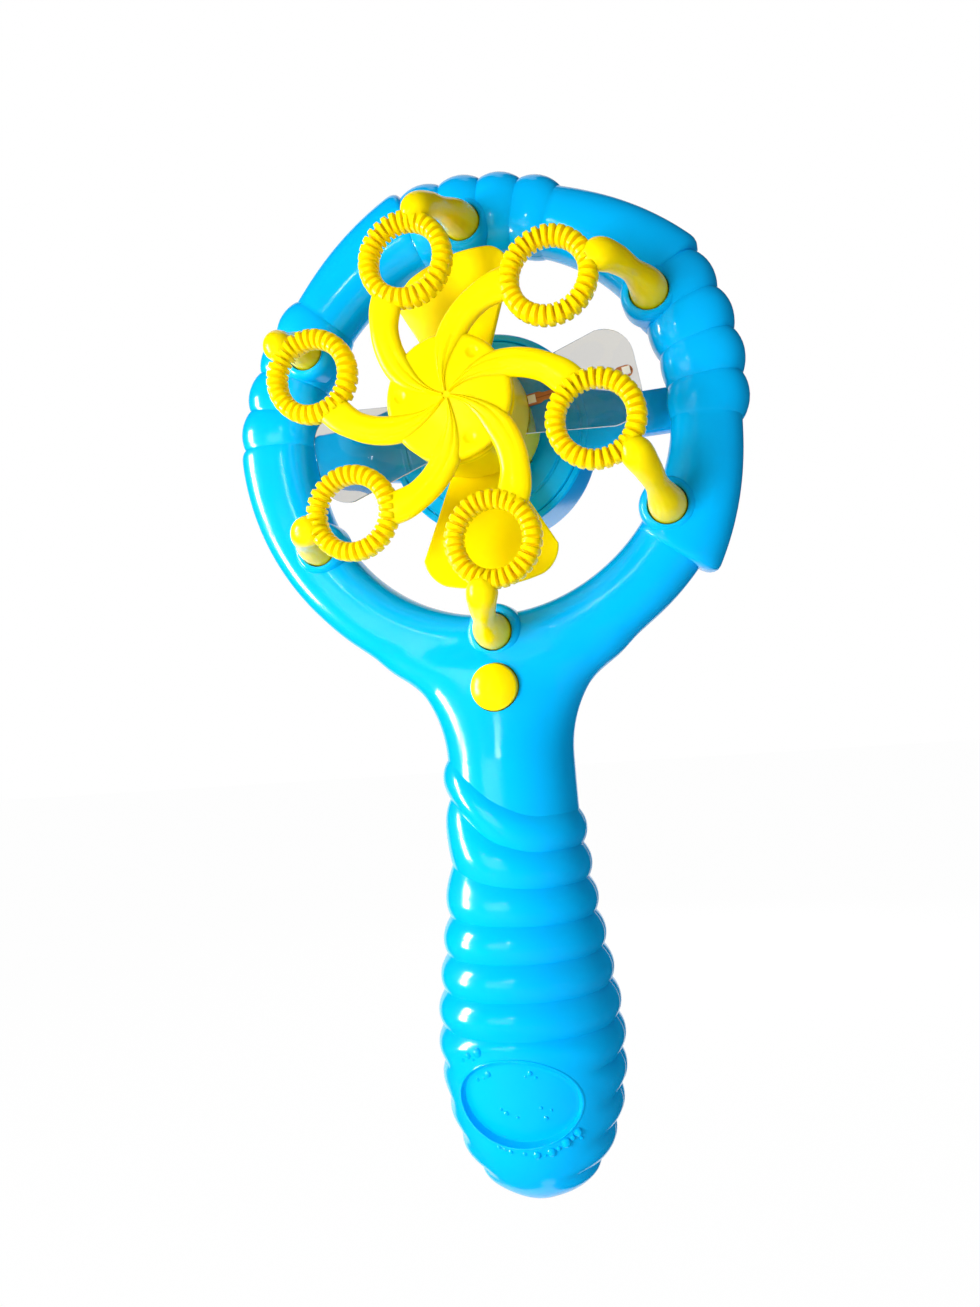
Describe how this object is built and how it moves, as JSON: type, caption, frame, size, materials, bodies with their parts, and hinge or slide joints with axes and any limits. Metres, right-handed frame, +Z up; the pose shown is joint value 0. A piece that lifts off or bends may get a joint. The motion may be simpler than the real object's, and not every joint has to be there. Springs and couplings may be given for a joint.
{
  "type": "bubble fan",
  "caption": "Hand-held battery bubble fan: ribbed ring and grip, a fan with moulded and clear light-strip blades, and a dipping wheel of toothed loops in front.",
  "frame": {"origin": "middle of the grip, on the handle's axis, in the parting plane of the shells", "axes": "+Z up along the handle to the ring, -Y to the front where the dipping wheel is, +X to the right as seen from the front"},
  "size_m": [0.1554, 0.0732, 0.2986],
  "materials": {
    "blue": "gloss",
    "yellow": "gloss",
    "clear": "clear",
    "copper_strip": "satin",
    "lamp_white": "gloss",
    "board_green": "satin",
    "contact_brass": "satin",
    "motor_steel": "satin",
    "white_nylon": "satin",
    "magnet": "matte",
    "bush_bronze": "satin",
    "winding_copper": "gloss",
    "spring_steel": "gloss",
    "screw_steel": "satin",
    "black_plastic": "satin",
    "cell_jacket": "gloss",
    "lead_red": "satin",
    "lead_black": "satin"
  },
  "bodies": {
    "root": {"front_shell": "blue", "rear_shell": "blue", "shell_screws": "screw_steel", "wand_wheel": "yellow", "feed_brushes": "contact_brass", "motor_bridge": "blue", "pod_cover": "blue", "motor_can": "motor_steel", "motor_bell": "white_nylon", "motor_magnets": "magnet", "motor_terminals": "contact_brass", "motor_bushes": "bush_bronze", "button_spring": "spring_steel", "push_switch": "black_plastic", "switch_board": "board_green", "cell_1": "cell_jacket", "cell_2": "cell_jacket", "cell_3": "cell_jacket", "cell_cradle": "black_plastic", "contact_springs": "spring_steel", "contact_plates": "spring_steel", "lead_red": "lead_red", "lead_black": "lead_black", "lead_cells": "lead_red"},
    "fan": {"fan_hub": "yellow", "hub_cap": "yellow", "clear_blades": "clear", "light_strip": "copper_strip", "lamps": "lamp_white", "hub_board": "board_green", "slip_rings": "contact_brass", "motor_shaft": "motor_steel", "motor_rotor": "winding_copper"},
    "button": {"push_button": "yellow", "switch_plunger": "black_plastic"},
    "door": {"battery_door": "blue", "door_screw": "screw_steel"}
  },
  "joints": [
    {"name": "fan_spin", "type": "hinge", "parent": "root", "child": "fan", "pos_m": [0, 0, 0.165], "axis": [0, 1, 0], "continuous": true},
    {"name": "button_press", "type": "slide", "parent": "root", "child": "button", "axis": [0, 1, 0], "range_m": [0, 0.0018], "stiffness_N_per_m": 500, "springref_m": -0.001, "deforming": ["button_spring"]},
    {"name": "door_off", "type": "slide", "parent": "root", "child": "door", "axis": [0, 1, 0], "range_m": [0, 0.025]}
  ]
}
